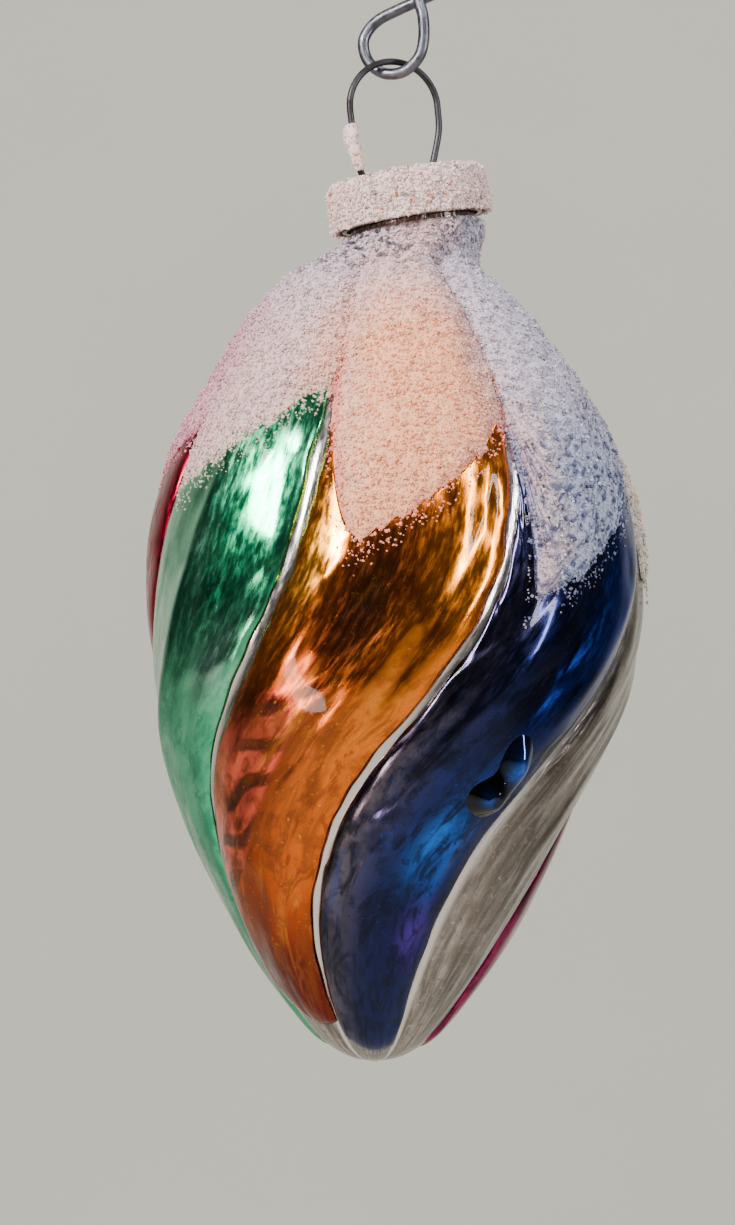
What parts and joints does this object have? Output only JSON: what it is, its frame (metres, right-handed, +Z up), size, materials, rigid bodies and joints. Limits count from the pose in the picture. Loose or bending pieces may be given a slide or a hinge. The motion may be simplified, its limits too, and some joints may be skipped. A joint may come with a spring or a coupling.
{
  "type": "hanging glass ornament",
  "caption": "Hanging spindle-shaped ornament of silvered glass with twisted, coloured lobes, a frosted shoulder and cap, a wire loop and a wire hook.",
  "frame": {"origin": "inside of the hook's crown, where the hook rests on a branch", "axes": "+Z up along the hanging ornament, -Y its front, +X to the right seen from the front"},
  "size_m": [0.0458, 0.0454, 0.1236],
  "materials": {
    "hook_steel": "dull grey drawn wire",
    "loop_steel": "dark annealed spring wire",
    "cap_metal": "thin tinned cap, hidden under the snow",
    "clear_glass": "thin blown glass",
    "silver_mirror": "silvering on the inside of the glass",
    "snow_frosting": "rough crust of glass beads in varnish",
    "lacquer_green": "translucent lacquer over the mirror",
    "lacquer_orange": "translucent lacquer over the mirror",
    "lacquer_blue": "translucent lacquer over the mirror",
    "lacquer_magenta": "translucent lacquer over the mirror",
    "lacquer_gold": "translucent lacquer over the mirror",
    "lacquer_red": "translucent lacquer over the mirror",
    "lacquer_drip": "thick dried run of blue lacquer"
  },
  "bodies": {
    "hook": {"wire_hook": "hook_steel"},
    "loop": {"hanging_loop": "loop_steel", "loop_snow": "snow_frosting"},
    "cap": {"cap_shell": "cap_metal", "cap_snow": "snow_frosting"},
    "bulb": {"glass_bulb": "clear_glass", "silver_lining": "silver_mirror", "shoulder_snow": "snow_frosting", "lacquer_drip": "lacquer_drip", "lacquer_green": "lacquer_green", "lacquer_orange": "lacquer_orange", "lacquer_blue": "lacquer_blue", "lacquer_magenta": "lacquer_magenta", "lacquer_gold": "lacquer_gold", "lacquer_red": "lacquer_red"}
  },
  "joints": [
    {"name": "loop_swing", "type": "hinge", "parent": "hook", "child": "loop", "pos_m": [0, 0, -0.034], "axis": [-0.3378, 0.9397, -0.0535], "range_deg": [-30, 30]},
    {"name": "cap_rock", "type": "hinge", "parent": "loop", "child": "cap", "pos_m": [0.00046, -0.00049, -0.04428], "axis": [0.9281, 0.342, 0.147], "range_deg": [-12, 12]},
    {"name": "bulb_pull", "type": "slide", "parent": "cap", "child": "bulb", "axis": [0.1564, 0, -0.9877], "range_m": [0, 0.018]}
  ]
}
